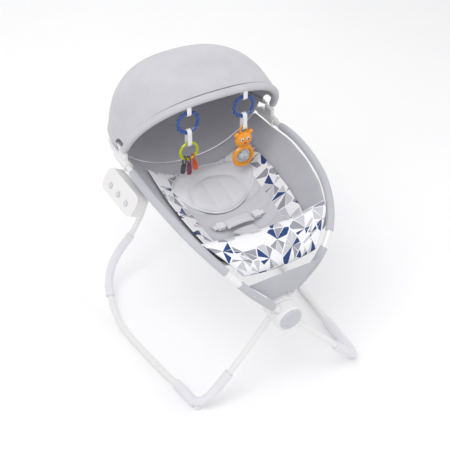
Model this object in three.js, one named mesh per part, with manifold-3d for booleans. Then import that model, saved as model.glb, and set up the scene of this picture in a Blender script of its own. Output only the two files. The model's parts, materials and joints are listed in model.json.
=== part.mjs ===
// Folding baby bouncer seat: two crossed tube frames hinged on one long axis, with a hung fabric seat.
// Millimetres, +Z up, +Y to the head end, X = 0 on the mid-plane, feet on Z = 0.
import * as THREE from "three";
import { mergeVertices } from "three/addons/utils/BufferGeometryUtils.js";
import Module from "manifold-3d";

const wasm = await Module();
wasm.setup();

// Overall layout
const ORIGIN_Y = 376.54; // distance from the hub face datum to the middle of the length
const HUB_HEIGHT = 322.7; // hub axis above the floor, at the front
const HUB_PITCH = 0.0866; // the hub axis rises towards the head, radians
const FRAME_ANGLE = 0.7448; // each frame's tilt from the vertical, radians
const REAR_HUB_S = 770;
// Tubes and their plastic fittings
const TUBE_R = 10;
const FITTING_R = 15;
const SLEEVE_R = 13.2;
const CLEARANCE = 0.3;
const LEG_STEPS = 3;
const BAR_STEPS = 8;
const REAR_STEPS = 5;
const UPPER_STEPS = 7;
const RAIL_STEPS = 15;
// Hubs
const HUB_R = 47;
const HUB_HALF = 43;
const HUB_MID = 21.5; // middle of each hub half, along the axis
const PIN_R = 6;
const DISC_R = 36;
// Feet
const NUB_R = 11;
const FOOT_SHIFT = 31; // each foot stands this far along the axis from the hub face datum
// Canopy
const CANOPY_PIVOT_Y = 510;
const CANOPY_PIVOT_Z = 694;
const CANOPY_HALF_WIDTH = 262;
const BOW_R = 4.5;
const CANOPY_WALL = 3;
const HOOD_LEAN = 18; // how far the ribs fan out along the seat at their feet
const HOOD_SIDE_POWER = 0.8;
const HOOD_RISE_POWER = 0.85;
// Control box
const BOX_LENGTH = 186;
const BOX_WIDTH = 76;
const BOX_DEPTH = 38;
const BUTTON_R = 8.5;
const BUTTON_GAP = 0.6;
const LID_THICKNESS = 4;
// Toys
const TOY_X = 96;
const LOOP_INNER_R = 8.8; // webbing loops, wide enough to swing on the sloping bow
const LOOP_OUTER_R = 10.2;
const RING_R = 33;
const RING_TUBE = 4.8;
const LOW_RING_R = 29;
const TAB_DROP = 26; // bow to the first ring
const STRAP_DROP = 38; // first ring to the second
const KEY_SPACING = 15;
const BEAR_HEAD_R = 31;
const RATTLE_DROP = 108; // ring pivot to the middle of the rattle hoop
const RATTLE_R = 32;

const COLOURS = {
  white: 0xe4e2df,
  grey_plastic: 0xc9c8d0,
  disc: 0xb5b6be,
  steel: 0x9a9ba0,
  fabric: 0xbdbcc3,
  canopy: 0xc4c3c9,
  insert: 0xdcdce2,
  navy: 0x123a72,
  lime: 0xb7bd1f,
  orange: 0xefa02a,
  red: 0xd2501e,
  charcoal: 0x4a4145,
  maroon: 0x7a2f48,
  clear: 0xdfeaf0,
};

const group = new THREE.Group();
group.name = "bouncer_seat";

function addPart(name, geometry, colour) {
  const placed = geometry.clone();
  placed.translate(0, -ORIGIN_Y, 0);
  const mesh = new THREE.Mesh(placed, new THREE.MeshStandardMaterial({ color: COLOURS[colour] }));
  mesh.name = name;
  group.add(mesh);
}

// Solid helpers
function toManifold(geometry) {
  const bare = new THREE.BufferGeometry();
  const source = geometry.index ? geometry.toNonIndexed() : geometry;
  bare.setAttribute("position", source.getAttribute("position").clone());
  const merged = mergeVertices(bare, 1e-3);
  return new wasm.Manifold(
    new wasm.Mesh({
      numProp: 3,
      vertProperties: new Float32Array(merged.attributes.position.array),
      triVerts: new Uint32Array(merged.index.array),
    }),
  );
}

function fromManifold(solid) {
  const mesh = solid.getMesh();
  const geometry = new THREE.BufferGeometry();
  geometry.setAttribute("position", new THREE.BufferAttribute(new Float32Array(mesh.vertProperties), 3));
  geometry.setIndex(new THREE.BufferAttribute(new Uint32Array(mesh.triVerts), 1));
  return geometry.toNonIndexed();
}

function cut(body, tools) {
  let solid = toManifold(body);
  for (const tool of tools) {
    solid = solid.subtract(toManifold(tool));
  }
  return fromManifold(solid);
}

function join(body, others) {
  let solid = toManifold(body);
  for (const other of others) {
    solid = solid.add(toManifold(other));
  }
  return fromManifold(solid);
}

function roundShape(radius, sides) {
  const corners = Array.from({ length: sides }, (_, i) => {
    const a = (2 * Math.PI * i) / sides;
    return new THREE.Vector2(radius * Math.cos(a), radius * Math.sin(a));
  });
  return new THREE.Shape(corners);
}

function bentRod(points, radius, steps, sides = 10) {
  const path = new THREE.CatmullRomCurve3(points, false, "centripetal");
  const shape = roundShape(radius, sides);
  return new THREE.ExtrudeGeometry(shape, { steps, bevelEnabled: false, extrudePath: path });
}

function turned(profile, origin, axis, segments = 16) {
  const points = profile.map(([r, z]) => new THREE.Vector2(r, z));
  const geometry = new THREE.LatheGeometry(points, segments);
  const turn = new THREE.Quaternion().setFromUnitVectors(new THREE.Vector3(0, 1, 0), axis);
  geometry.applyQuaternion(turn);
  geometry.translate(origin.x, origin.y, origin.z);
  return geometry;
}

// A slab that follows a surface: the surface is the middle of the slab, and its thickness may vary.
function slab(surface, nu, nv, thickness) {
  const step = 1e-3;
  const tops = [];
  const bottoms = [];
  for (let j = 0; j <= nv; j += 1) {
    for (let i = 0; i <= nu; i += 1) {
      const u = i / nu;
      const v = j / nv;
      const p = surface(u, v);
      const du = surface(Math.min(u + step, 1), v).sub(surface(Math.max(u - step, 0), v));
      const dv = surface(u, Math.min(v + step, 1)).sub(surface(u, Math.max(v - step, 0)));
      const n = du.cross(dv).normalize().multiplyScalar(thickness(u, v) / 2);
      tops.push(p.clone().add(n));
      bottoms.push(p.clone().sub(n));
    }
  }
  const vertices = [...tops, ...bottoms].flatMap((p) => [p.x, p.y, p.z]);
  const index = [];
  const row = nu + 1;
  const under = tops.length;
  const quad = (a, b, c, d) => index.push(a, b, c, a, c, d);
  for (let j = 0; j < nv; j += 1) {
    for (let i = 0; i < nu; i += 1) {
      const a = j * row + i;
      quad(a, a + 1, a + row + 1, a + row);
      quad(under + a, under + a + row, under + a + row + 1, under + a + 1);
    }
  }
  for (let i = 0; i < nu; i += 1) {
    const far = nv * row + i;
    quad(i, under + i, under + i + 1, i + 1);
    quad(far, far + 1, under + far + 1, under + far);
  }
  for (let j = 0; j < nv; j += 1) {
    const a = j * row;
    const b = j * row + nu;
    quad(a, a + row, under + a + row, under + a);
    quad(b, under + b, under + b + row, b + row);
  }
  const geometry = new THREE.BufferGeometry();
  geometry.setAttribute("position", new THREE.BufferAttribute(new Float32Array(vertices), 3));
  geometry.setIndex(index);
  return geometry.toNonIndexed();
}

function roundedPlate(width, height, depth, corner, segments = 4) {
  const x = width / 2;
  const y = height / 2;
  const shape = new THREE.Shape();
  shape.moveTo(-x + corner, -y);
  shape.absarc(x - corner, -y + corner, corner, -Math.PI / 2, 0, false);
  shape.absarc(x - corner, y - corner, corner, 0, Math.PI / 2, false);
  shape.absarc(-x + corner, y - corner, corner, Math.PI / 2, Math.PI, false);
  shape.absarc(-x + corner, -y + corner, corner, Math.PI, 1.5 * Math.PI, false);
  return new THREE.ExtrudeGeometry(shape, { depth, bevelEnabled: false, curveSegments: segments });
}

// The axis through both hubs
const AXIS = new THREE.Vector3(0, Math.cos(HUB_PITCH), Math.sin(HUB_PITCH));
const DOWN = new THREE.Vector3(0, Math.sin(HUB_PITCH), -Math.cos(HUB_PITCH));

function onAxis(s) {
  return new THREE.Vector3(0, 0, HUB_HEIGHT).addScaledVector(AXIS, s);
}

// A point of one frame: s along the hub axis, r from it (legs positive, seat rails negative).
// Frame a has its leg on the left (side -1) and frame b on the right (side +1).
function framePoint(side, s, r) {
  const p = onAxis(s).addScaledVector(DOWN, r * Math.cos(FRAME_ANGLE));
  p.x += side * Math.sin(FRAME_ANGLE) * r;
  return p;
}

// Distance r at which a frame's point s stands at a given height.
function rAtHeight(s, z) {
  return (HUB_HEIGHT + s * Math.sin(HUB_PITCH) - z) / (Math.cos(FRAME_ANGLE) * Math.cos(HUB_PITCH));
}

function framePath(side, pairs) {
  return pairs.map(([s, r]) => framePoint(side, s, r));
}

// Both seat rails as distance from the axis at s, the shape the fabric hangs from.
const RAIL = [
  [522, -386],
  [480, -390],
  [400, -398],
  [300, -391],
  [200, -369],
  [120, -328],
  [62, -274],
];

function railR(s) {
  for (let i = 1; i < RAIL.length; i += 1) {
    const [s1, r1] = RAIL[i - 1];
    const [s0, r0] = RAIL[i];
    if (s >= s0) {
      const k = Math.min((s - s0) / (s1 - s0), 1);
      return r0 + (r1 - r0) * k;
    }
  }
  return RAIL[RAIL.length - 1][1];
}

function buildFrame(side, tag) {
  const shift = -side; // frame a stands behind frame b where they cross
  const hub = HUB_MID * shift;
  const foot = FOOT_SHIFT * shift;
  const along = (list, radius, steps) => bentRod(framePath(side, list), radius, steps);
  const legLine = [
    [hub, 26],
    [foot - 30, 230],
    [foot - 33, 292],
  ];
  const barLine = [
    [104, rAtHeight(104, 20.5)],
    [170, rAtHeight(170, 15.5)],
    [250, rAtHeight(250, 12.4)],
    [340, rAtHeight(340, 10.8)],
    [430, rAtHeight(430, 10.8)],
    [510, rAtHeight(510, 19)],
    [570, rAtHeight(570, 35)],
    [612, rAtHeight(612, 52)],
  ];
  const rearLine = [
    [693, 286],
    [696, 256],
    [716, 182],
    [748 + hub * 0.7, 90],
    [REAR_HUB_S + hub, 26],
  ];
  const upperLine = [
    [REAR_HUB_S + hub, -26],
    [768 + hub * 0.8, -150],
    [742, -285],
    [680, -352],
    [610, -380],
    [566, -384],
  ];
  const railLine = [
    ...RAIL,
    [24 + shift * 10, -222],
    [8 + shift * 15, -192],
    [hub * 0.9 + 2, -120],
    [hub, -26],
  ];
  const grown = TUBE_R + CLEARANCE;
  addPart("front_leg_tube_" + tag, along(legLine, TUBE_R, LEG_STEPS), "white");
  addPart("floor_bar_" + tag, along(barLine, TUBE_R, BAR_STEPS), "white");
  addPart("rear_leg_tube_" + tag, along(rearLine, TUBE_R, REAR_STEPS), "white");
  addPart("seat_rear_tube_" + tag, along(upperLine, TUBE_R, UPPER_STEPS), "white");
  addPart("side_rail_" + tag, along(railLine, TUBE_R, RAIL_STEPS), "white");

  const frontCorner = along(
    [
      [foot - 31.5, 262],
      [foot - 33, 330],
      [foot - 29, 378],
      [foot - 10, 408],
      [40, rAtHeight(40, 20.8)],
      [90, rAtHeight(90, 21.2)],
      [128, rAtHeight(128, 18.9)],
    ],
    FITTING_R,
    8,
  );
  const nubAt = framePoint(side, foot - 12, 405);
  const nub = new THREE.CylinderGeometry(NUB_R, NUB_R, 20, 12);
  nub.rotateX(Math.PI / 2);
  nub.translate(nubAt.x, nubAt.y, 10);
  const sockets = [along(legLine, grown, LEG_STEPS), along(barLine, grown, BAR_STEPS)];
  addPart("front_corner_" + tag, cut(join(frontCorner, [nub]), sockets), "grey_plastic");

  const rearCorner = along(
    [
      [590, rAtHeight(590, 42.5)],
      [630, rAtHeight(630, 61)],
      [668, rAtHeight(668, 92)],
      [688, 350],
      [694, 300],
      [696, 254],
    ],
    FITTING_R,
    6,
  );
  const rearSockets = [along(barLine, grown, BAR_STEPS), along(rearLine, grown, REAR_STEPS)];
  addPart("rear_corner_" + tag, cut(rearCorner, rearSockets), "grey_plastic");

  const clip = roundedPlate(16, 40, 28, 6, 3);
  clip.translate(-side * CANOPY_HALF_WIDTH, CANOPY_PIVOT_Y, 660);
  const connector = along(
    [
      [502, -387],
      [540, -386.5],
      [584, -383],
    ],
    FITTING_R,
    2,
  );
  const connectorSockets = [along(railLine, grown, RAIL_STEPS), along(upperLine, grown, UPPER_STEPS)];
  addPart("head_connector_" + tag, cut(join(connector, [clip]), connectorSockets), "white");

  const start = side < 0 ? CLEARANCE : -HUB_HALF;
  const end = side < 0 ? HUB_HALF : -CLEARANCE;
  const profile = [
    [PIN_R + CLEARANCE, start],
    [HUB_R - 4, start],
    [HUB_R, start + 4],
    [HUB_R, end - 4],
    [HUB_R - 4, end],
    [PIN_R + CLEARANCE, end],
    [PIN_R + CLEARANCE, start],
  ];
  const frontHub = turned(profile, onAxis(0), AXIS);
  const frontBores = [along(legLine, grown, LEG_STEPS), along(railLine, grown, RAIL_STEPS)];
  addPart("front_hub_" + tag, cut(frontHub, frontBores), "white");
  const rearHub = turned(profile, onAxis(REAR_HUB_S), AXIS);
  const rearBores = [along(rearLine, grown, REAR_STEPS), along(upperLine, grown, UPPER_STEPS)];
  addPart("rear_hub_" + tag, cut(rearHub, rearBores), "white");

  const railCurve = new THREE.CatmullRomCurve3(framePath(side, railLine), false, "centripetal");
  const sleeve = (from, to) => {
    const count = to - from;
    const points = Array.from({ length: count + 1 }, (_, i) => railCurve.getPointAt((from + i) / RAIL_STEPS));
    const cover = bentRod(points, SLEEVE_R, count);
    return cut(cover, [along(railLine, TUBE_R + 0.8, RAIL_STEPS)]);
  };
  addPart("rail_sleeve_" + tag, sleeve(1, 10), "fabric");
  addPart("front_sleeve_" + tag, sleeve(11, 14), "fabric");
}

function buildPins() {
  const pin = (from, to) => [
    [0, from],
    [PIN_R - CLEARANCE, from],
    [PIN_R - CLEARANCE, to],
    [0, to],
  ];
  addPart("front_hub_pin", turned(pin(-HUB_HALF + 2, HUB_HALF - 1), onAxis(0), AXIS, 16), "steel");
  addPart("rear_hub_pin", turned(pin(-HUB_HALF + 1, HUB_HALF - 1), onAxis(REAR_HUB_S), AXIS, 16), "steel");
  const disc = [
    [0, -HUB_HALF - 5],
    [DISC_R - 3, -HUB_HALF - 5],
    [DISC_R, -HUB_HALF - 2],
    [DISC_R, -HUB_HALF - CLEARANCE],
    [0, -HUB_HALF - CLEARANCE],
  ];
  addPart("front_hub_disc", turned(disc, onAxis(0), AXIS, 28), "disc");
}

// Seat fabric. The hammock hangs in a trough between the two rail sleeves.
const SEAT_FRONT_S = 118;
const SEAT_HEAD_S = 590;
const SEAT_MIDDLE = 364; // length over which the trough rises to its working slope

function troughBottom(s) {
  const k = (s - SEAT_FRONT_S) / SEAT_MIDDLE;
  return 428 + 66 * k * k;
}

function troughPoint(u, v, inset, lift) {
  const s = SEAT_FRONT_S + (SEAT_HEAD_S - SEAT_FRONT_S) * v;
  const rail = framePoint(1, s, railR(s));
  const reach = Math.abs(rail.x) - inset;
  const across = 2 * u - 1;
  const bottom = troughBottom(s) + lift;
  const rim = rail.z - 20;
  const rise = Math.abs(across) ** 2.4;
  return new THREE.Vector3(across * reach, rail.y, bottom + (rim - bottom) * rise);
}

function edgeTaper(u, v, thin, thick) {
  const rim = Math.min(u, 1 - u, v, 1 - v) * 6;
  return thin + (thick - thin) * Math.min(rim, 1) ** 0.6;
}

function buildSeat() {
  const hammock = slab((u, v) => troughPoint(u, v, 22, 0), 12, 5, () => 3);
  addPart("seat_hammock", hammock, "fabric");
  const liner = slab(
    (u, v) => troughPoint(0.14 + 0.72 * u, 0.06 + 0.84 * v, 26, 15),
    10,
    4,
    (u, v) => edgeTaper(u, v, 4, 13),
  );
  addPart("seat_liner", liner, "insert");
  const head = slab(
    (u, v) => troughPoint(0.22 + 0.56 * u, 0.5 + 0.38 * v, 26, 38.5),
    6,
    4,
    (u, v) => edgeTaper(u, v, 6, 20),
  );
  addPart("head_insert", head, "insert");
  const band = slab(
    (u, v) => {
      const across = 2 * u - 1;
      const y = 30 + 80 * v;
      const reach = 116 + 66 * Math.sin((v * Math.PI) / 2);
      const z = 532 + 28 * Math.sin(v * 2.2) - 46 * (1 - v) ** 2;
      return new THREE.Vector3(across * reach, y, z - 14 * (1 - across * across) + 6);
    },
    8,
    4,
    () => 9,
  );
  addPart("front_band", band, "navy");
  const panel = slab(
    (u, v) => {
      const across = 2 * u - 1;
      const edge = framePoint(1, 0, -70 - 135 * v);
      const reach = Math.abs(edge.x) - 20;
      return new THREE.Vector3(across * reach, -8 + 16 * v, edge.z + 8 - 6 * v);
    },
    5,
    3,
    () => 3,
  );
  addPart("front_panel", panel, "fabric");
}

function placePad(geometry, x, y, z, pitch) {
  geometry.rotateX(pitch);
  geometry.translate(x, y, z);
  return geometry;
}

function buildHarness() {
  const crotch = roundedPlate(82, 106, 12, 24);
  addPart("crotch_pad", placePad(crotch, 0, 178, 494, -0.35), "insert");
  const waist = roundedPlate(96, 40, 12, 10);
  addPart("waist_pad", placePad(waist, 0, 262, 482, 0.1), "insert");
  for (const [side, tag] of [
    [-1, "left"],
    [1, "right"],
  ]) {
    const body = roundedPlate(26, 26, 10, 5, 3);
    const slot = new THREE.BoxGeometry(12.6, 16.6, 4.6);
    slot.translate(side * 7, 0, 5);
    const shell = cut(body, [slot]);
    addPart("buckle_" + tag, placePad(shell, side * 64, 262, 486, 0.1), "white");
    const tongue = new THREE.BoxGeometry(24, 16, 4);
    tongue.translate(side * 13.5, 0, 5);
    addPart("buckle_tongue_" + tag, placePad(tongue, side * 64, 262, 486, 0.1), "white");
  }
}

// Control box. Its face looks out and up from the left rail.
const BOX_NORMAL = new THREE.Vector3(-0.86, -0.08, 0.5).normalize();

function inBox(geometry) {
  const across = new THREE.Vector3(0, 1, 0.07).normalize();
  const up = new THREE.Vector3().crossVectors(BOX_NORMAL, across).normalize();
  const along = new THREE.Vector3().crossVectors(up, BOX_NORMAL).normalize();
  const basis = new THREE.Matrix4().makeBasis(along, up, BOX_NORMAL);
  basis.setPosition(-277.9, 448, 577);
  geometry.applyMatrix4(basis);
  return geometry;
}

function buildControlBox() {
  const outer = roundedPlate(BOX_LENGTH, BOX_WIDTH, BOX_DEPTH - LID_THICKNESS, 26, 4);
  const hollow = roundedPlate(BOX_LENGTH - 7, BOX_WIDTH - 7, BOX_DEPTH, 22.5, 4);
  hollow.translate(0, 0, 3);
  addPart("control_housing", inBox(cut(outer, [hollow])), "white");
  const lid = roundedPlate(BOX_LENGTH, BOX_WIDTH, LID_THICKNESS, 26, 4);
  lid.translate(0, 0, BOX_DEPTH - LID_THICKNESS + CLEARANCE);
  const places = [-48, 0, 48];
  const holes = places.map((x) => {
    const hole = new THREE.CylinderGeometry(BUTTON_R + BUTTON_GAP, BUTTON_R + BUTTON_GAP, 20, 16);
    hole.rotateX(Math.PI / 2);
    hole.translate(x, 10, BOX_DEPTH);
    return hole;
  });
  addPart("control_cover", inBox(cut(lid, holes)), "white");
  places.forEach((x, i) => {
    const button = new THREE.CylinderGeometry(BUTTON_R, BUTTON_R, 6.5, 16);
    button.rotateX(Math.PI / 2);
    button.translate(x, 10, BOX_DEPTH + 0.6);
    addPart("control_button_" + (i + 1), inBox(button), "disc");
  });
  const motor = new THREE.CylinderGeometry(11, 11, 40, 12);
  motor.rotateZ(Math.PI / 2);
  motor.translate(-38, -6, 15);
  addPart("motor_unit", inBox(motor), "steel");
  const battery = new THREE.BoxGeometry(58, 44, 22);
  battery.translate(36, 0, 15);
  addPart("battery_pack", inBox(battery), "charcoal");
}

// Canopy. One profile over the top gives the hood's depth, and each rib spans from side to side.
const HOOD = [
  [394, 866],
  [455, 902],
  [540, 922],
  [630, 912],
  [712, 858],
  [768, 772],
  [792, 668],
];
const HOOD_CURVE = new THREE.CatmullRomCurve3(HOOD.map(([y, z]) => new THREE.Vector3(0, y, z)));

function hoodPoint(t, v, half = CANOPY_HALF_WIDTH) {
  const top = HOOD_CURVE.getPoint(v);
  const angle = Math.PI * t;
  const side = Math.abs(Math.cos(angle)) ** HOOD_SIDE_POWER * Math.sign(Math.cos(angle));
  const rise = Math.sin(angle) ** HOOD_RISE_POWER;
  const base = CANOPY_PIVOT_Y + HOOD_LEAN * (v - 0.5);
  const y = base + (top.y - base) * rise;
  return new THREE.Vector3(-half * side, y, CANOPY_PIVOT_Z + (top.z - CANOPY_PIVOT_Z) * rise);
}

function rib(v, radius) {
  const points = Array.from({ length: 13 }, (_, i) => hoodPoint(0.004 + (0.992 * i) / 12, v));
  return bentRod(points, radius, 13, 8);
}

function buildCanopy() {
  addPart("canopy_front_bow", rib(0, BOW_R), "white");
  addPart("canopy_rear_bow", rib(1, BOW_R), "white");
  const fabric = slab(
    (u, v) => hoodPoint(0.06 + 0.88 * u, 0.05 + 0.915 * v),
    14,
    7,
    () => CANOPY_WALL,
  );
  addPart("canopy_fabric", fabric, "canopy");
}

// Toys. Flat loops of webbing link the rings, each loop in the plane across the ring's tube.
function webLoop(x, y, top, bottom, width) {
  const oval = (r) => {
    const path = new THREE.Shape();
    path.absarc(0, top, r, 0, Math.PI, false);
    path.absarc(0, bottom, r, Math.PI, 2 * Math.PI, false);
    return path;
  };
  const shape = oval(LOOP_OUTER_R);
  shape.holes.push(new THREE.Path(oval(LOOP_INNER_R).getPoints(3).reverse()));
  const loop = new THREE.ExtrudeGeometry(shape, { depth: width, bevelEnabled: false, curveSegments: 3 });
  loop.translate(0, 0, -width / 2);
  const basis = new THREE.Matrix4().makeBasis(
    new THREE.Vector3(0, 1, 0),
    new THREE.Vector3(0, 0, 1),
    new THREE.Vector3(1, 0, 0),
  );
  loop.applyMatrix4(basis);
  loop.translate(x, y, 0);
  return loop;
}

function ring(x, y, z, radius, tube) {
  const geometry = new THREE.TorusGeometry(radius, tube, 6, 16);
  geometry.rotateX(Math.PI / 2);
  geometry.translate(x, y, z);
  return geometry;
}

const BOW_AT_TOY = hoodPoint(0.5 - Math.asin(0.31) / Math.PI, 0);
const TOY_Y = BOW_AT_TOY.y;
const TOY_TOP = BOW_AT_TOY.z - 1.5;
const RING_TOP = TOY_TOP - TAB_DROP;
const LOW_RING_TOP = RING_TOP - 2 * RING_R - STRAP_DROP;

function buildKey(x, tilt, length) {
  const lug = webLoop(0, 0, 0, -10, 5);
  const blade = roundedPlate(15, length, 4, 6, 2);
  blade.rotateX(Math.PI / 2);
  blade.translate(0, 2, -18.4 - length / 2 + 1.5);
  const key = join(lug, [blade]);
  key.rotateY(tilt);
  const drop = LOW_RING_R - Math.sqrt(LOW_RING_R ** 2 - x * x);
  key.translate(x - TOY_X, TOY_Y, LOW_RING_TOP - 2 * LOW_RING_R + drop);
  return key;
}

function buildToys() {
  for (const [side, tag] of [
    [-1, "left"],
    [1, "right"],
  ]) {
    const x = side * TOY_X;
    addPart("toy_tab_" + tag, webLoop(x, TOY_Y, TOY_TOP, RING_TOP, 14), "white");
    addPart("link_ring_" + tag, ring(x, TOY_Y, RING_TOP - RING_R, RING_R, RING_TUBE), "navy");
    const strapTop = RING_TOP - 2 * RING_R;
    addPart("toy_strap_" + tag, webLoop(x, TOY_Y, strapTop, LOW_RING_TOP, 14), "white");
  }
  addPart("key_ring", ring(-TOY_X, TOY_Y, LOW_RING_TOP - LOW_RING_R, LOW_RING_R, RING_TUBE), "lime");
  const keyX = [-KEY_SPACING, 0, KEY_SPACING];
  const keyTilt = [0.16, 0, -0.16];
  const keyLength = [34, 40, 34];
  const keyColour = ["charcoal", "maroon", "red"];
  keyX.forEach((x, i) => {
    addPart("key_" + (i + 1), buildKey(x, keyTilt[i], keyLength[i]), keyColour[i]);
  });
  const bail = ring(TOY_X, TOY_Y, LOW_RING_TOP - 13, 13, 4);
  const head = new THREE.SphereGeometry(BEAR_HEAD_R, 12, 8);
  head.scale(1, 0.42, 0.86);
  head.translate(TOY_X, TOY_Y, LOW_RING_TOP - 48);
  const ears = [-1, 1].map((side) => {
    const ear = new THREE.SphereGeometry(10, 8, 5);
    ear.scale(1, 0.6, 1);
    ear.translate(TOY_X + side * 24, TOY_Y, LOW_RING_TOP - 27);
    return ear;
  });
  const hoop = ring(TOY_X, TOY_Y, LOW_RING_TOP - RATTLE_DROP, RATTLE_R, 8);
  addPart("bear_rattle", join(head, [bail, ...ears, hoop]), "orange");
  const pegs = [-1, 1].map((side) => {
    const peg = new THREE.CylinderGeometry(1.8, 1.8, 6, 6);
    peg.rotateZ(Math.PI / 2);
    peg.translate(TOY_X + side * (RATTLE_R - 11.6), TOY_Y, LOW_RING_TOP - RATTLE_DROP);
    return peg;
  });
  const ball = new THREE.SphereGeometry(RATTLE_R - 12, 10, 7);
  ball.translate(TOY_X, TOY_Y, LOW_RING_TOP - RATTLE_DROP);
  addPart("rattle_ball", join(ball, pegs), "clear");
}

buildFrame(-1, "a");
buildFrame(1, "b");
buildPins();
buildSeat();
buildHarness();
buildControlBox();
buildCanopy();
buildToys();

export default group;
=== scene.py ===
import json
import math
import bpy
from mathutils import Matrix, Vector


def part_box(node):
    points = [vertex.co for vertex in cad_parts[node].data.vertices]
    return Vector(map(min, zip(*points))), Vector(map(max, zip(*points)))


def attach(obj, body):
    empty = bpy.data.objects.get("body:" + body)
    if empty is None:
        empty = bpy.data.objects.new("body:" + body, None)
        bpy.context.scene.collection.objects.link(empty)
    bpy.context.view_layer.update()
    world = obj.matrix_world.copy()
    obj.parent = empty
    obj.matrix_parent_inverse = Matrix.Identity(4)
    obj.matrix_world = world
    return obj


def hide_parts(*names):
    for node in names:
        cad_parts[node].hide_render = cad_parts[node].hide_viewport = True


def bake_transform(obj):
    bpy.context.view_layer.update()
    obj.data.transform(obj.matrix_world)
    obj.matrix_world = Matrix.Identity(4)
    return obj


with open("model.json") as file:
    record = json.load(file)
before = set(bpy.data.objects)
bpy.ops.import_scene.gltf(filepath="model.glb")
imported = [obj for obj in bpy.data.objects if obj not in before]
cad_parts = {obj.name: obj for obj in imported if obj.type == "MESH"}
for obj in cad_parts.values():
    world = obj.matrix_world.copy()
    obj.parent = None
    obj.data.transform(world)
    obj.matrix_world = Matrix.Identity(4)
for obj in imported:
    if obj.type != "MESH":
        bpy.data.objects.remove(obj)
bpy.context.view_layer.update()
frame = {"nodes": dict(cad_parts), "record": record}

# The seat's driving shape, in metres, as in the CAD part.
JOINTS = {j["name"]: j for j in frame["record"]["behaviour"]["joints"]}
FOLD = JOINTS["frame_fold"]
HUB = Vector(FOLD["pos_m"])
AXIS = Vector(FOLD["axis"]).normalized()
DOWN = Vector((0, AXIS.z, -AXIS.y))
TILT = 0.7448
RAIL = [
    (0.600, -0.381),
    (0.522, -0.386),
    (0.480, -0.390),
    (0.400, -0.398),
    (0.300, -0.391),
    (0.200, -0.369),
    (0.120, -0.328),
    (0.062, -0.274),
    (0.024, -0.222),
    (0.008, -0.192),
    (0.004, -0.120),
    (0.000, -0.040),
]


# ---------- materials ----------

def new_material(name, rough, **sockets):
    mat = bpy.data.materials.new(name)
    mat.use_nodes = True
    nodes = mat.node_tree.nodes
    shader = nodes["Principled BSDF"]
    shader.inputs["Roughness"].default_value = rough
    for key, value in sockets.items():
        shader.inputs[key.replace("_", " ")].default_value = value
    return mat, nodes, mat.node_tree.links, shader


def node(nodes, kind, **values):
    made = nodes.new("ShaderNode" + kind)
    for key, value in values.items():
        if key in made.inputs:
            made.inputs[key].default_value = value
        else:
            setattr(made, key, value)
    return made


def shade(colour, k):
    return (*[min(c * k, 1) for c in colour], 1)


def mottled(nodes, links, coords, colour, scale, spread):
    noise = node(nodes, "TexNoise", Scale=scale, Detail=5.0, Roughness=0.6)
    links.new(coords, noise.inputs["Vector"])
    ramp = node(nodes, "ValToRGB")
    ramp.color_ramp.elements[0].position = 0.3
    ramp.color_ramp.elements[0].color = shade(colour, 1 - spread)
    ramp.color_ramp.elements[1].position = 0.7
    ramp.color_ramp.elements[1].color = shade(colour, 1 + spread)
    links.new(noise.outputs["Fac"], ramp.inputs["Fac"])
    return ramp.outputs["Color"]


def weave_height(nodes, links, coords, scale):
    """Threads as fine bands in all three directions, added together."""
    total = None
    for direction in ("X", "Y", "Z"):
        wave = node(nodes, "TexWave", wave_type="BANDS", bands_direction=direction, Scale=scale)
        wave.inputs["Distortion"].default_value = 0.6
        links.new(coords, wave.inputs["Vector"])
        if total is None:
            total = wave.outputs["Fac"]
            continue
        add = node(nodes, "Math", operation="ADD")
        links.new(total, add.inputs[0])
        links.new(wave.outputs["Fac"], add.inputs[1])
        total = add.outputs[0]
    return total


def bump_stack(nodes, links, shader, layers):
    normal = None
    for height, strength, distance in layers:
        bump = node(nodes, "Bump", Strength=strength, Distance=distance)
        links.new(height, bump.inputs["Height"])
        if normal is not None:
            links.new(normal, bump.inputs["Normal"])
        normal = bump.outputs["Normal"]
    links.new(normal, shader.inputs["Normal"])


def fabric(name, colour, thread=420.0, crumple=0.5, spread=0.05):
    mat, nodes, links, shader = new_material(name, 0.88, Sheen_Weight=0.25, Sheen_Roughness=0.5)
    coords = node(nodes, "TexCoord").outputs["Object"]
    base = mottled(nodes, links, coords, colour, 9.0, spread)
    links.new(base, shader.inputs["Base Color"])
    soft = node(nodes, "TexNoise", Scale=16.0, Detail=3.0)
    links.new(coords, soft.inputs["Vector"])
    threads = weave_height(nodes, links, coords, thread)
    bump_stack(nodes, links, shader, [(soft.outputs["Fac"], crumple, 0.006), (threads, 0.25, 0.0004)])
    return mat


def plastic(name, colour, rough=0.38, grain=0.08, coat=0.0):
    mat, nodes, links, shader = new_material(name, rough, Coat_Weight=coat)
    coords = node(nodes, "TexCoord").outputs["Object"]
    links.new(mottled(nodes, links, coords, colour, 22.0, 0.02), shader.inputs["Base Color"])
    fine = node(nodes, "TexNoise", Scale=900.0, Detail=2.0)
    links.new(coords, fine.inputs["Vector"])
    worn = node(nodes, "TexNoise", Scale=30.0, Detail=6.0)
    links.new(coords, worn.inputs["Vector"])
    spread = node(nodes, "MapRange")
    spread.inputs["To Min"].default_value = rough - 0.07
    spread.inputs["To Max"].default_value = rough + 0.1
    links.new(worn.outputs["Fac"], spread.inputs["Value"])
    links.new(spread.outputs["Result"], shader.inputs["Roughness"])
    bump_stack(nodes, links, shader, [(fine.outputs["Fac"], grain, 0.0003)])
    return mat


def clear_plastic(name):
    mat, nodes, links, shader = new_material(name, 0.08, Transmission_Weight=0.75, IOR=1.45)
    coords = node(nodes, "TexCoord").outputs["Object"]
    tint = mottled(nodes, links, coords, (0.8, 0.88, 0.92), 60.0, 0.05)
    links.new(tint, shader.inputs["Base Color"])
    return mat


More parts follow.
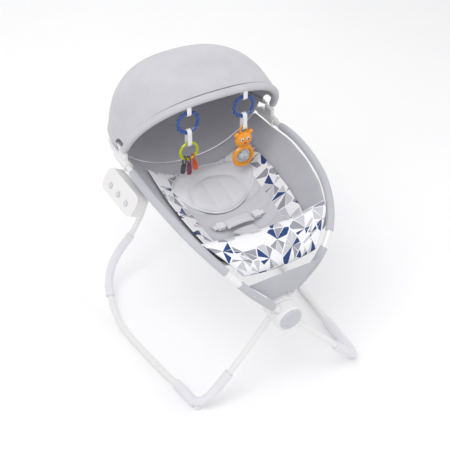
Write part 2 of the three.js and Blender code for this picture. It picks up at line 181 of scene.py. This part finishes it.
def ramp_colours(nodes, stops):
    ramp = node(nodes, "ValToRGB")
    ramp.color_ramp.interpolation = "CONSTANT"
    elements = ramp.color_ramp.elements
    while len(elements) < len(stops):
        elements.new(0.5)
    for element, (position, colour) in zip(elements, stops):
        element.position = position
        element.color = (*colour, 1)
    return ramp


def burst_print(nodes, links, coords, cell_scale):
    """A plain geometric print: fans of wedges round scattered centres, with pale lines between."""
    cells = node(nodes, "TexVoronoi", voronoi_dimensions="2D", feature="F1", Scale=cell_scale)
    links.new(coords, cells.inputs["Vector"])
    away = node(nodes, "VectorMath", operation="SUBTRACT")
    links.new(coords, away.inputs[0])
    links.new(cells.outputs["Position"], away.inputs[1])
    parts = node(nodes, "SeparateXYZ")
    links.new(away.outputs["Vector"], parts.inputs["Vector"])
    turn = node(nodes, "Math", operation="ARCTAN2")
    links.new(parts.outputs["Y"], turn.inputs[0])
    links.new(parts.outputs["X"], turn.inputs[1])
    sector = node(nodes, "Math", operation="MULTIPLY")
    sector.inputs[1].default_value = 9 / (2 * math.pi)
    links.new(turn.outputs[0], sector.inputs[0])
    whole = node(nodes, "Math", operation="FLOOR")
    links.new(sector.outputs[0], whole.inputs[0])
    part = node(nodes, "Math", operation="FRACT")
    links.new(sector.outputs[0], part.inputs[0])
    mixed = node(nodes, "CombineXYZ")
    links.new(whole.outputs[0], mixed.inputs["X"])
    tag = node(nodes, "SeparateXYZ")
    links.new(cells.outputs["Color"], tag.inputs["Vector"])
    links.new(tag.outputs["X"], mixed.inputs["Y"])
    links.new(tag.outputs["Y"], mixed.inputs["Z"])
    pick = node(nodes, "TexWhiteNoise", noise_dimensions="3D")
    links.new(mixed.outputs["Vector"], pick.inputs["Vector"])
    white = (0.86, 0.86, 0.88)
    stops = [
        (0.0, white),
        (0.40, (0.56, 0.56, 0.60)),
        (0.66, (0.31, 0.31, 0.36)),
        (0.82, white),
        (0.91, (0.012, 0.05, 0.18)),
    ]
    colours = ramp_colours(nodes, stops)
    links.new(pick.outputs["Value"], colours.inputs["Fac"])
    line = node(nodes, "Math", operation="LESS_THAN")
    line.inputs[1].default_value = 0.09
    links.new(part.outputs[0], line.inputs[0])
    edge = node(nodes, "TexVoronoi", voronoi_dimensions="2D", feature="DISTANCE_TO_EDGE", Scale=cell_scale)
    links.new(coords, edge.inputs["Vector"])
    border = node(nodes, "Math", operation="LESS_THAN")
    border.inputs[1].default_value = 0.03
    links.new(edge.outputs["Distance"], border.inputs[0])
    either = node(nodes, "Math", operation="MAXIMUM")
    links.new(line.outputs[0], either.inputs[0])
    links.new(border.outputs[0], either.inputs[1])
    mix = node(nodes, "MixRGB")
    mix.inputs["Color2"].default_value = (*white, 1)
    links.new(either.outputs[0], mix.inputs["Fac"])
    links.new(colours.outputs["Color"], mix.inputs["Color1"])
    return mix.outputs["Color"]


def printed_fabric(name, cell_scale, border=None, body=(0.62, 0.62, 0.66)):
    """Printed cloth. With a border, the print keeps to the outer band and the middle is plain."""
    mat, nodes, links, shader = new_material(name, 0.85, Sheen_Weight=0.2)
    uv = node(nodes, "TexCoord").outputs["UV"]
    coords = node(nodes, "TexCoord").outputs["Object"]
    pattern = burst_print(nodes, links, uv, cell_scale)
    if border:
        width, head = border
        parts = node(nodes, "SeparateXYZ")
        links.new(uv, parts.inputs["Vector"])
        side = node(nodes, "Math", operation="ABSOLUTE")
        links.new(parts.outputs["X"], side.inputs[0])
        outer = node(nodes, "Math", operation="GREATER_THAN")
        outer.inputs[1].default_value = width
        links.new(side.outputs[0], outer.inputs[0])
        top = node(nodes, "Math", operation="GREATER_THAN")
        top.inputs[1].default_value = head
        links.new(parts.outputs["Y"], top.inputs[0])
        either = node(nodes, "Math", operation="MAXIMUM")
        links.new(outer.outputs[0], either.inputs[0])
        links.new(top.outputs[0], either.inputs[1])
        mix = node(nodes, "MixRGB")
        links.new(either.outputs[0], mix.inputs["Fac"])
        links.new(mottled(nodes, links, coords, body, 9.0, 0.04), mix.inputs["Color1"])
        links.new(pattern, mix.inputs["Color2"])
        pattern = mix.outputs["Color"]
    links.new(pattern, shader.inputs["Base Color"])
    soft = node(nodes, "TexNoise", Scale=18.0, Detail=3.0)
    links.new(coords, soft.inputs["Vector"])
    threads = weave_height(nodes, links, coords, 420.0)
    bump_stack(nodes, links, shader, [(soft.outputs["Fac"], 0.4, 0.005), (threads, 0.2, 0.0004)])
    return mat


MATERIALS = {
    "painted_tube": plastic("painted_tube", (0.80, 0.79, 0.78), 0.28, 0.05, 0.3),
    "grey_fitting": plastic("grey_fitting", (0.76, 0.76, 0.79), 0.42, 0.12),
    "white_fitting": plastic("white_fitting", (0.78, 0.77, 0.77), 0.36, 0.1),
    "pin_steel": plastic("pin_steel", (0.45, 0.45, 0.47), 0.3, 0.1),
    "hub_disc": plastic("hub_disc", (0.55, 0.56, 0.60), 0.4, 0.12),
    "buckle_plastic": plastic("buckle_plastic", (0.78, 0.78, 0.80), 0.34, 0.1),
    "box_shell": plastic("box_shell", (0.80, 0.79, 0.78), 0.32, 0.1, 0.2),
    "box_button": plastic("box_button", (0.62, 0.62, 0.65), 0.55, 0.15),
    "battery": plastic("battery", (0.06, 0.06, 0.07), 0.5),
    "canopy_rod": plastic("canopy_rod", (0.75, 0.75, 0.77), 0.4),
    "blue_ring": plastic("blue_ring", (0.012, 0.07, 0.30), 0.25, 0.03, 0.4),
    "lime_ring": plastic("lime_ring", (0.46, 0.50, 0.012), 0.25, 0.03, 0.4),
    "key_charcoal": plastic("key_charcoal", (0.06, 0.05, 0.055), 0.3, 0.04, 0.3),
    "key_maroon": plastic("key_maroon", (0.2, 0.03, 0.07), 0.3, 0.04, 0.3),
    "key_red": plastic("key_red", (0.62, 0.08, 0.012), 0.3, 0.04, 0.3),
    "bear_orange": plastic("bear_orange", (0.85, 0.33, 0.02), 0.32, 0.05, 0.3),
    "clear_ball": clear_plastic("clear_ball"),
    "webbing": fabric("webbing", (0.82, 0.82, 0.84), 700.0, 0.1),
    "seat_fabric": fabric("seat_fabric", (0.50, 0.50, 0.54)),
    "liner_fabric": printed_fabric("liner_fabric", 15.0, border=(0.155, 0.31)),
    "insert_fabric": fabric("insert_fabric", (0.70, 0.70, 0.73), 520.0, 0.6),
    "print_fabric": printed_fabric("print_fabric", 14.0),
    "canopy_cloth": fabric("canopy_cloth", (0.54, 0.54, 0.57), 380.0, 0.55, 0.06),
    "eye_black": plastic("eye_black", (0.01, 0.01, 0.012), 0.2),
    "nose_red": plastic("nose_red", (0.5, 0.05, 0.02), 0.3),
}


def dress_cad_nodes():
    """Every carried-over CAD node takes its slot's material."""
    for part in frame["record"]["subparts"]:
        obj = frame["nodes"][part["node"]]
        mat = MATERIALS[part["material_slot"]]
        if not obj.material_slots:
            obj.data.materials.append(mat)
        for entry in obj.material_slots:
            entry.material = mat


# ---------- shapes ----------

def frame_point(side, s, r):
    """A point of one frame, s along the hub axis and r from it, legs positive and rails negative."""
    p = HUB + AXIS * s + DOWN * (r * math.cos(TILT))
    p.x += side * math.sin(TILT) * r
    return p


def rail_r(s):
    for (s1, r1), (s0, r0) in zip(RAIL, RAIL[1:]):
        if s >= s0:
            return r0 + (r1 - r0) * min((s - s0) / (s1 - s0), 1)
    return RAIL[-1][1]


def grid_mesh(name, surface, nu, nv, size, material):
    """A sheet over u, v in 0 to 1, with its UVs in metres, centred across and measured from the start."""
    width, length = size
    verts = [surface(i / nu, j / nv) for j in range(nv + 1) for i in range(nu + 1)]
    row = nu + 1
    faces = [
        (j * row + i, j * row + i + 1, (j + 1) * row + i + 1, (j + 1) * row + i)
        for j in range(nv)
        for i in range(nu)
    ]
    mesh = bpy.data.meshes.new(name)
    mesh.from_pydata([tuple(v) for v in verts], [], faces)
    uv = mesh.uv_layers.new(name="UVMap")
    for loop in mesh.loops:
        i, j = loop.vertex_index % row, loop.vertex_index // row
        uv.data[loop.index].uv = ((i / nu - 0.5) * width, j / nv * length)
    for face in mesh.polygons:
        face.use_smooth = True
    obj = bpy.data.objects.new(name, mesh)
    bpy.context.collection.objects.link(obj)
    mesh.materials.append(material)
    return obj


def bake(obj):
    """Applies every modifier, so the mesh is final."""
    bpy.context.view_layer.update()
    graph = bpy.context.evaluated_depsgraph_get()
    done = bpy.data.meshes.new_from_object(obj.evaluated_get(graph))
    obj.modifiers.clear()
    obj.data = done
    for face in done.polygons:
        face.use_smooth = True


def cloth(name, surface, nu, nv, size, slot, thickness=0.002):
    obj = grid_mesh(name, surface, nu, nv, size, MATERIALS[slot])
    solid = obj.modifiers.new("thick", "SOLIDIFY")
    solid.thickness = thickness
    solid.offset = 0
    sub = obj.modifiers.new("smooth", "SUBSURF")
    sub.levels = 1
    sub.render_levels = 1
    bake(obj)
    return obj


def pad(name, surface, nu, nv, size, slot, height):
    """A stuffed pad: a crowned upper side over the surface, thickened underneath by a fixed amount and
    closed along its rim.
    """
    step = 1e-3

    def normal(u, v):
        du = surface(min(u + step, 1), v) - surface(max(u - step, 0), v)
        dv = surface(u, min(v + step, 1)) - surface(u, max(v - step, 0))
        return du.cross(dv).normalized()

    def upper(u, v):
        return surface(u, v) + normal(u, v) * (0.001 + height(u, v))

    top = grid_mesh(name, upper, nu, nv, size, MATERIALS[slot])
    solid = top.modifiers.new("under", "SOLIDIFY")
    solid.thickness = PAD_UNDERSIDE
    solid.offset = -1
    sub = top.modifiers.new("smooth", "SUBSURF")
    sub.levels = 1
    sub.render_levels = 1
    bake(top)
    return top


def tube(name, points, radius, slot, closed=False):
    curve = bpy.data.curves.new(name, "CURVE")
    curve.dimensions = "3D"
    curve.bevel_depth = radius
    curve.bevel_resolution = 3
    curve.use_fill_caps = True
    spline = curve.splines.new("NURBS")
    spline.points.add(len(points) - 1)
    for entry, p in zip(spline.points, points):
        entry.co = (*p, 1)
    spline.order_u = 4
    spline.use_endpoint_u = not closed
    spline.use_cyclic_u = closed
    obj = bpy.data.objects.new(name, curve)
    bpy.context.collection.objects.link(obj)
    graph = bpy.context.evaluated_depsgraph_get()
    mesh = bpy.data.meshes.new_from_object(obj.evaluated_get(graph))
    made = bpy.data.objects.new(name, mesh)
    bpy.data.objects.remove(obj)
    bpy.context.collection.objects.link(made)
    mesh.materials.append(MATERIALS[slot])
    for face in mesh.polygons:
        face.use_smooth = True
    return made


def across_frames(obj):
    """Cloth between the two rails: bakes its transform into the mesh."""
    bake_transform(obj)


# ---------- seat ----------

SEAT_FRONT = 0.075
SEAT_HEAD = 0.600
TROUGH_POWER = 2.4
PIPING_R = 0.0024
PAD_UNDERSIDE = 0.004


def trough(u, v, inset=0.014, lift=0.0):
    s = SEAT_FRONT + (SEAT_HEAD - SEAT_FRONT) * v
    rail = frame_point(1, s, rail_r(s))
    reach = abs(rail.x) - inset
    across = 2 * u - 1
    k = (s - 0.118) / 0.364
    bottom = 0.428 + 0.066 * k * k + lift
    lip = max(0, 0.15 - v) / 0.15
    bottom += 0.075 * lip * lip
    rim = rail.z - 0.010
    return Vector((across * reach, rail.y, bottom + (rim - bottom) * abs(across) ** TROUGH_POWER))


def build_seat():
    hammock = cloth("hammock", trough, 36, 28, (0.62, 0.53), "seat_fabric", 0.003)
    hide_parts("seat_hammock")
    across_frames(hammock)

    def liner_at(u, v):
        return trough(0.11 + 0.78 * u, 0.12 + 0.78 * v, 0.026, 0.007)

    def liner_height(u, v):
        rim = min(u, 1 - u, v, 1 - v) * 8
        channels = abs(math.sin(v * math.pi * 7)) ** 0.35 if abs(u - 0.5) < 0.34 else 1.0
        return 0.002 + 0.012 * min(rim, 1) ** 0.5 * (0.55 + 0.45 * channels)

    liner = pad("liner", liner_at, 40, 56, (0.42, 0.44), "liner_fabric", liner_height)
    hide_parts("seat_liner")
    across_frames(liner)


def pentagon(u, v):
    """Fills a rounded pentagon, point to the foot end, from a unit square."""
    x, y = 2 * u - 1, 2 * v - 1
    x, y = x * math.sqrt(1 - y * y / 2), y * math.sqrt(1 - x * x / 2)
    narrow = 1 - 0.22 * max(0, -y) - 0.06 * max(0, y)
    return 0.5 + 0.5 * x * narrow, 0.5 + 0.5 * y


def head_at(u, v):
    a, b = pentagon(u, v)
    return trough(0.20 + 0.60 * a, 0.53 + 0.35 * b, 0.026, 0.024)


def build_head_insert():
    def height(u, v):
        rim = min(u, 1 - u, v, 1 - v) * 7
        a, b = pentagon(u, v)
        arch = math.hypot((a - 0.5) * 2.1, (b - 0.30) * 1.6)
        seam = 1 - 0.55 * math.exp(-(((arch - 0.72) / 0.05) ** 2))
        channel = 0.75 + 0.25 * abs(math.cos((a - 0.5) * math.pi * 5)) ** 0.5 if arch < 0.72 else 1
        return 0.003 + 0.017 * min(rim, 1) ** 0.5 * seam * channel

    insert = pad("head_pad", head_at, 40, 40, (0.24, 0.18), "insert_fabric", height)
    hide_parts("head_insert")
    across_frames(insert)
    edge = [(i / 16, 0) for i in range(16)] + [(1, i / 16) for i in range(16)]
    edge += [(1 - i / 16, 1) for i in range(16)] + [(0, 1 - i / 16) for i in range(16)]
    line = [head_at(u, v) + Vector((0, 0, 0.004)) for u, v in edge]
    piping = tube("head_piping", line, PIPING_R, "webbing", closed=True)
    across_frames(piping)


def band_at(u, v):
    across = 2 * u - 1
    reach = 0.128 + 0.085 * math.sin(v * math.pi / 2)
    y = 0.026 + 0.094 * v
    z = 0.534 + 0.034 * math.sin(v * 2.3) - 0.046 * (1 - v) ** 2
    z -= 0.016 * (1 - across * across)
    z += 0.012 * across * across * v
    return Vector((across * reach, y + HUB.y, z))


def build_front_band():
    def height(u, v):
        rim = min(u, 1 - u, v, 1 - v) * 7
        return 0.003 + 0.010 * min(rim, 1) ** 0.5

    band = pad("front_print_band", band_at, 36, 18, (0.40, 0.17), "print_fabric", height)
    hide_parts("front_band")
    across_frames(band)
    for name, v in (("band_piping_foot", 0.0), ("band_piping_seat", 1.0)):
        line = [band_at(i / 20, v) + Vector((0, 0, 0.004)) for i in range(21)]
        across_frames(tube(name, line, PIPING_R, "webbing"))


def build_front_panel():
    def panel_at(u, v):
        across = 2 * u - 1
        r = -0.066 - 0.138 * v
        side = frame_point(1, 0.004, r)
        reach = abs(side.x) - 0.010
        notch = 0.012 * (1 - v) * (1 - across * across)
        return Vector((across * reach, HUB.y + 0.002 - 0.006 * v, side.z + 0.004 + notch))

    panel = cloth("front_panel_cloth", panel_at, 20, 12, (0.24, 0.10), "seat_fabric")
    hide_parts("front_panel")
    across_frames(panel)


def build_sleeves():
    """The casings sewn round the tubes, smoothed from the CAD sleeves."""
    for tag, body in (("a", "frame_a"), ("b", "frame_b")):
        for name in ("rail_sleeve_", "front_sleeve_"):
            node_name = name + tag
            source = frame["nodes"][node_name]
            piece = source.copy()
            piece.data = source.data.copy()
            piece.name = "cloth_" + node_name
            bpy.context.collection.objects.link(piece)
            piece.data.materials.clear()
            piece.data.materials.append(MATERIALS["seat_fabric"])
            weld = piece.modifiers.new("weld", "WELD")
            weld.merge_threshold = 0.0001
            sub = piece.modifiers.new("smooth", "SUBSURF")
            sub.levels = 2
            sub.render_levels = 2
            bake(piece)
            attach(piece, body)
            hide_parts(node_name)


# ---------- harness ----------

def build_harness():
    low, high = (Vector(c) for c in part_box("crotch_pad"))

    def crotch_at(u, v):
        across = 2 * u - 1
        waist = 1 - 0.22 * math.sin(v * math.pi)
        x = across * (high.x - low.x) / 2 * waist
        y = low.y + (high.y - low.y) * v
        z = high.z - 0.012 - (high.z - low.z - 0.014) * v
        return Vector((x, y, z - 0.004 * across * across))

    def soft(u, v):
        rim = min(u, 1 - u, v, 1 - v) * 6
        return 0.002 + 0.009 * min(rim, 1) ** 0.5

    crotch = pad("crotch_cushion", crotch_at, 20, 24, (0.08, 0.11), "insert_fabric", soft)
    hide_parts("crotch_pad")
    across_frames(crotch)
    low, high = (Vector(c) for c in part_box("waist_pad"))

    def waist_at(u, v):
        x = low.x + (high.x - low.x) * u
        y = low.y + (high.y - low.y) * v
        return Vector((x, y, low.z + 0.003 + 0.004 * math.sin(u * math.pi)))

    waist = pad("waist_cushion", waist_at, 24, 12, (0.1, 0.04), "insert_fabric", soft)
    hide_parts("waist_pad")
    across_frames(waist)


# ---------- canopy ----------

TILT_POINT = Vector(JOINTS["canopy_tilt"]["pos_m"])
PIVOT_Y = TILT_POINT.y + 0.009
HOOD_HALF_WIDTH = 0.262
HOOD_LEAN = 0.018
HOOD_SIDE_POWER = 0.8
HOOD_RISE_POWER = 0.85
HOOD = [
    (0.394, 0.866),
    (0.455, 0.902),
    (0.540, 0.922),
    (0.630, 0.912),
    (0.712, 0.858),
    (0.768, 0.772),
    (0.792, 0.668),
]


def spline_at(points, v):
    """Catmull-Rom through the points, evenly spaced in v."""
    n = len(points) - 1
    x = min(v * n, n - 1e-9)
    i = int(x)
    t = x - i
    p1, p2 = Vector(points[i]), Vector(points[i + 1])
    p0 = Vector(points[i - 1]) if i > 0 else 2 * p1 - p2
    p3 = Vector(points[i + 2]) if i + 2 <= n else 2 * p2 - p1
    return 0.5 * (2 * p1 + (p2 - p0) * t + (2 * p0 - 5 * p1 + 4 * p2 - p3) * t * t
                  + (3 * p1 - p0 - 3 * p2 + p3) * t * t * t)


def hood_at(t, v, grow=0.0):
    top = spline_at(HOOD, v)
    angle = math.pi * t
    side = math.copysign(abs(math.cos(angle)) ** HOOD_SIDE_POWER, math.cos(angle))
    rise = max(math.sin(angle), 0) ** HOOD_RISE_POWER
    pivot_y = PIVOT_Y + HOOD_LEAN * (v - 0.5)
    y = pivot_y + (top.x + HUB.y - pivot_y) * rise
    z = TILT_POINT.z + (top.y - TILT_POINT.z) * rise
    p = Vector((-HOOD_HALF_WIDTH * side, y, z))
    centre = Vector((0, PIVOT_Y, TILT_POINT.z - 0.02))
    return p + (p - centre).normalized() * grow


def build_canopy():
    def shell(u, v):
        t = 0.03 + 0.94 * u
        seam = -0.0016 * sum(math.exp(-(((v - k) / 0.012) ** 2)) for k in (0.34, 0.68))
        sag = -0.004 * math.sin(v * math.pi * 3) ** 2 * math.sin(u * math.pi)
        return hood_at(t, 0.03 + 0.96 * v, 0.004 + seam + sag)

    hood = cloth("canopy_hood", shell, 48, 40, (0.9, 0.65), "canopy_cloth", 0.0022)
    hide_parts("canopy_fabric")
    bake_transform(hood)
    for name, v, body, radius in (("canopy_front_hem", 0.0, "canopy_bow", 0.0120),
                                  ("canopy_rear_hem", 1.0, "canopy", 0.0075)):
        line = [hood_at(0.02 + 0.96 * i / 30, v) for i in range(31)]
        hem = tube(name, line, radius, "canopy_cloth")
        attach(hem, body)


# ---------- toys ----------

RING_BEADS = 14
BEAD_R = 0.0052

def ball(name, place, size, slot, body):
    bpy.ops.mesh.primitive_uv_sphere_add(segments=24, ring_count=16, radius=1, location=place)
    obj = bpy.context.object
    obj.name = name
    obj.scale = size
    bpy.ops.object.transform_apply(location=True, rotation=True, scale=True)
    for face in obj.data.polygons:
        face.use_smooth = True
    obj.data.materials.append(MATERIALS[slot])
    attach(obj, body)
    return obj


def build_head_wall():
    """The cloth behind the head, from the hammock's head edge up to the rear bow."""
    def wall_at(u, v):
        low = trough(u, 1.0)
        high = hood_at(0.03 + 0.94 * u, 1.0, -0.010)
        return low.lerp(high, v) - Vector((0, 0, 0.012 * math.sin(v * math.pi) * math.sin(u * math.pi)))

    wall = cloth("head_wall", wall_at, 32, 12, (0.62, 0.24), "seat_fabric")
    across_frames(wall)


def build_toy_details():
    low, high = (Vector(c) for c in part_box("bear_rattle"))
    x = (low.x + high.x) / 2
    face = low.y + 0.0005
    head_z = high.z - 0.052
    for i, side in enumerate((-1, 1)):
        eye_x = x + side * 0.010
        eye_z = head_z + 0.006
        white = (eye_x, face + 0.001, eye_z)
        pupil = (eye_x, face - 0.0006, eye_z)
        ball(f"bear_eye_white_{i}", white, (0.0056, 0.0018, 0.0062), "webbing", "rattle")
        ball(f"bear_eye_{i}", pupil, (0.0028, 0.0014, 0.0034), "eye_black", "rattle")
    ball("bear_nose", (x, face, head_z - 0.007), (0.0048, 0.0022, 0.0036), "nose_red", "rattle")
    for side in ("left", "right"):
        low, high = (Vector(c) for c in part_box("link_ring_" + side))
        middle = (low + high) / 2
        radius = (high.x - low.x) / 2 - 0.0045
        for k in range(RING_BEADS):
            a = 2 * math.pi * k / RING_BEADS
            place = middle + Vector((math.cos(a), 0, math.sin(a))) * (radius + 0.0015)
            ball(f"ring_bead_{side}_{k}", place, (BEAD_R, BEAD_R, BEAD_R), "blue_ring", "toy_" + side)


# ---------- stage ----------

def build_stage():
    bpy.ops.mesh.primitive_plane_add(size=14, location=(0, 1, -0.0005))
    floor = bpy.context.object
    floor.name = "floor"
    mat, nodes, links, shader = new_material("floor", 0.9)
    coords = node(nodes, "TexCoord").outputs["Object"]
    links.new(mottled(nodes, links, coords, (0.94, 0.94, 0.94), 1.5, 0.01), shader.inputs["Base Color"])
    floor.data.materials.append(mat)
    world = bpy.context.scene.world or bpy.data.worlds.new("world")
    bpy.context.scene.world = world
    world.use_nodes = True
    world.node_tree.nodes["Background"].inputs["Color"].default_value = (0.985, 0.985, 1, 1)
    world.node_tree.nodes["Background"].inputs["Strength"].default_value = 0.75
    for name, place, energy, size in (
        ("key", (-1.6, -1.2, 3.2), 45, 2.0),
        ("fill", (2.6, -1.8, 2.0), 18, 2.5),
        ("back", (0.5, 2.8, 2.6), 20, 2.0),
    ):
        light = bpy.data.lights.new(name, "AREA")
        light.energy = energy
        light.size = size
        lamp = bpy.data.objects.new(name, light)
        bpy.context.collection.objects.link(lamp)
        lamp.location = place
        lamp.rotation_euler = (Vector((0, 0, 0.5)) - Vector(place)).to_track_quat("-Z", "Y").to_euler()
    camera = bpy.data.cameras.new("camera")
    camera.lens = 77.5
    camera.sensor_width = 36
    view = bpy.data.objects.new("camera", camera)
    bpy.context.collection.objects.link(view)
    view.location = (-1.2352, HUB.y - 1.7773, 2.2945)
    view.rotation_euler = Vector((0.3993, 0.6866, -0.6076)).to_track_quat("-Z", "Y").to_euler()
    bpy.context.scene.camera = view
    bpy.context.scene.view_settings.view_transform = "Standard"


build_stage()
dress_cad_nodes()
build_seat()
build_head_insert()
build_front_band()
build_front_panel()
build_sleeves()
build_harness()
build_canopy()
build_head_wall()
build_toy_details()
